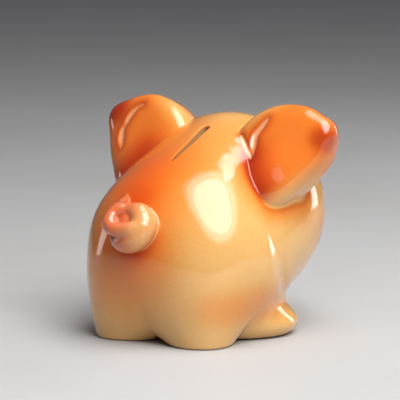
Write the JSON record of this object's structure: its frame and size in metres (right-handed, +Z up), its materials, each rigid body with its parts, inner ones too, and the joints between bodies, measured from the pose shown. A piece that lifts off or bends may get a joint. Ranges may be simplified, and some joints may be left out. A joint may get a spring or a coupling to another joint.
{
  "type": "piggy bank",
  "caption": "Glazed ceramic pig money bank with big ears and a curled tail, a coin slot in the back and a pull-out stopper in the belly.",
  "frame": {"origin": "on the ground under the middle of the pig's box", "axes": "+Z up, the pig faces -Y, its left side is +X"},
  "size_m": [0.1294, 0.1466, 0.1161],
  "materials": {
    "body_glaze": "clear high-gloss glaze over cream slip, airbrushed orange over the back and top",
    "ear_glaze": "clear high-gloss glaze over airbrushed orange, fading to cream at the rim",
    "tail_glaze": "clear high-gloss glaze over cream, pink-orange in the dimple",
    "snout_glaze": "clear high-gloss glaze over a pink-orange blush",
    "eye_glaze": "glossy black-brown glaze",
    "foot_glaze": "clear high-gloss glaze over cream with a low orange blush, bare clay underneath",
    "stopper_rubber": "soft translucent grey-white plug, matt"
  },
  "bodies": {
    "bank": {"body_shell": "body_glaze", "left_ear": "ear_glaze", "right_ear": "ear_glaze", "tail": "tail_glaze", "snout": "snout_glaze", "left_eye": "eye_glaze", "right_eye": "eye_glaze", "rear_left_foot": "foot_glaze", "rear_right_foot": "foot_glaze", "front_left_foot": "foot_glaze", "front_right_foot": "foot_glaze"},
    "plug": {"stopper": "stopper_rubber"}
  },
  "joints": [
    {"name": "stopper_pull", "type": "slide", "parent": "bank", "child": "plug", "axis": [0, 0, -1], "range_m": [0, 0.012]}
  ]
}
